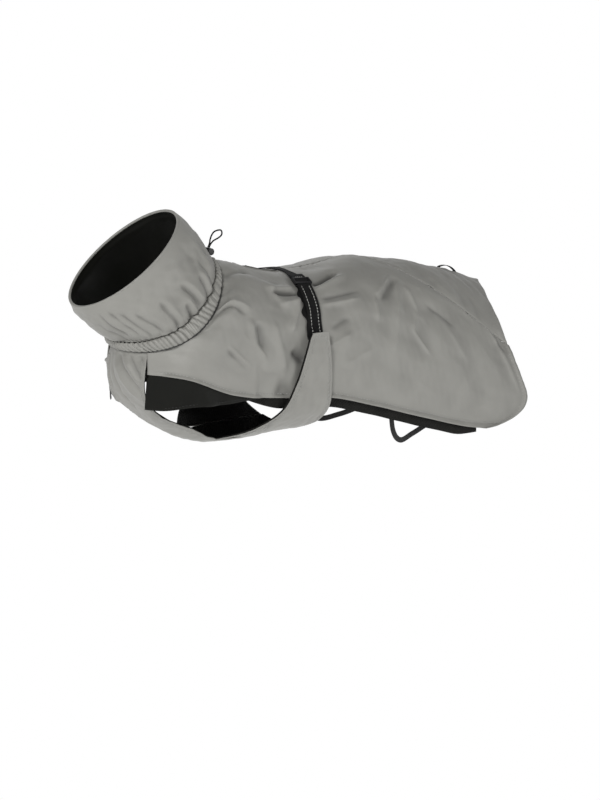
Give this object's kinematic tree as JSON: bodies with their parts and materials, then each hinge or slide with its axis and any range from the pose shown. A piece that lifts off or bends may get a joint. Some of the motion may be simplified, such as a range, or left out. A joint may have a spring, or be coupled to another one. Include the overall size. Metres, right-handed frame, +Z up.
{
  "type": "dog raincoat with snood collar",
  "caption": "Raincoat for a large dog in its worn shape: grey shell over a black lining, tall snood collar with a drawcord, chest panel, girth strap with slider and buckle, hind-leg elastics.",
  "frame": {"origin": "on the coat's spine where the girth strap crosses the back", "axes": "+X towards the tail, -Y towards the dog's left, +Z up"},
  "size_m": [0.7956, 0.2846, 0.3932],
  "materials": {
    "reflective_grey_cloth": "fine plain weave with a dull metallic coating",
    "black_lining_cloth": "matte knit",
    "black_webbing": "woven with light stitch lines",
    "black_elastic": "woven elastic",
    "black_plastic": "moulded, satin",
    "dark_piping": "bound cord",
    "spring_steel": "drawn wire"
  },
  "bodies": {
    "coat": {"side_panel_left": "reflective_grey_cloth", "side_panel_right": "reflective_grey_cloth", "rump_panel": "reflective_grey_cloth", "snood_shell": "reflective_grey_cloth", "snood_rim": "reflective_grey_cloth", "cord_channel": "reflective_grey_cloth", "chest_panel": "reflective_grey_cloth", "belly_wing_left": "reflective_grey_cloth", "belly_wing_right": "reflective_grey_cloth", "leash_slit_welt": "reflective_grey_cloth", "lining_left": "black_lining_cloth", "lining_right": "black_lining_cloth", "shoulder_flap_left": "black_lining_cloth", "shoulder_flap_right": "black_lining_cloth", "snood_lining": "black_lining_cloth", "chest_lining": "black_lining_cloth", "wing_lining_left": "black_lining_cloth", "wing_lining_right": "black_lining_cloth", "girth_webbing_left": "black_webbing", "girth_webbing_right": "black_webbing", "back_strap": "black_webbing", "tail_loop": "black_webbing", "drawcord_in_channel": "black_elastic", "drawcord_loop": "black_elastic", "leg_strap_left": "black_elastic", "leg_strap_right": "black_elastic", "buckle_socket": "black_plastic", "cord_eyelet": "black_plastic", "neck_piping": "dark_piping"},
    "cord_lock": {"cord_lock_body": "black_plastic", "cord_lock_spring": "spring_steel"},
    "lock_button": {"cord_lock_button": "black_plastic"},
    "strap_slider": {"strap_slider": "black_plastic"},
    "buckle_plug": {"buckle_plug": "black_plastic"}
  },
  "joints": [
    {"name": "cord_lock_slide", "type": "slide", "parent": "coat", "child": "cord_lock", "axis": [0.5018, 0, 0.865], "range_m": [0, 0.006]},
    {"name": "button_press", "type": "slide", "parent": "cord_lock", "child": "lock_button", "axis": [0, 1, 0], "range_m": [0, 0.0025], "stiffness_N_per_m": 300, "springref_m": -0.001, "deforming": ["cord_lock_spring"]},
    {"name": "slider_slide", "type": "slide", "parent": "coat", "child": "strap_slider", "axis": [0.1145, 0.8737, 0.4728], "range_m": [-0.006, 0.006]},
    {"name": "buckle_release", "type": "slide", "parent": "coat", "child": "buckle_plug", "axis": [0.1069, -0.5197, 0.8476], "range_m": [0, 0.016], "deforming": ["back_strap"]}
  ]
}
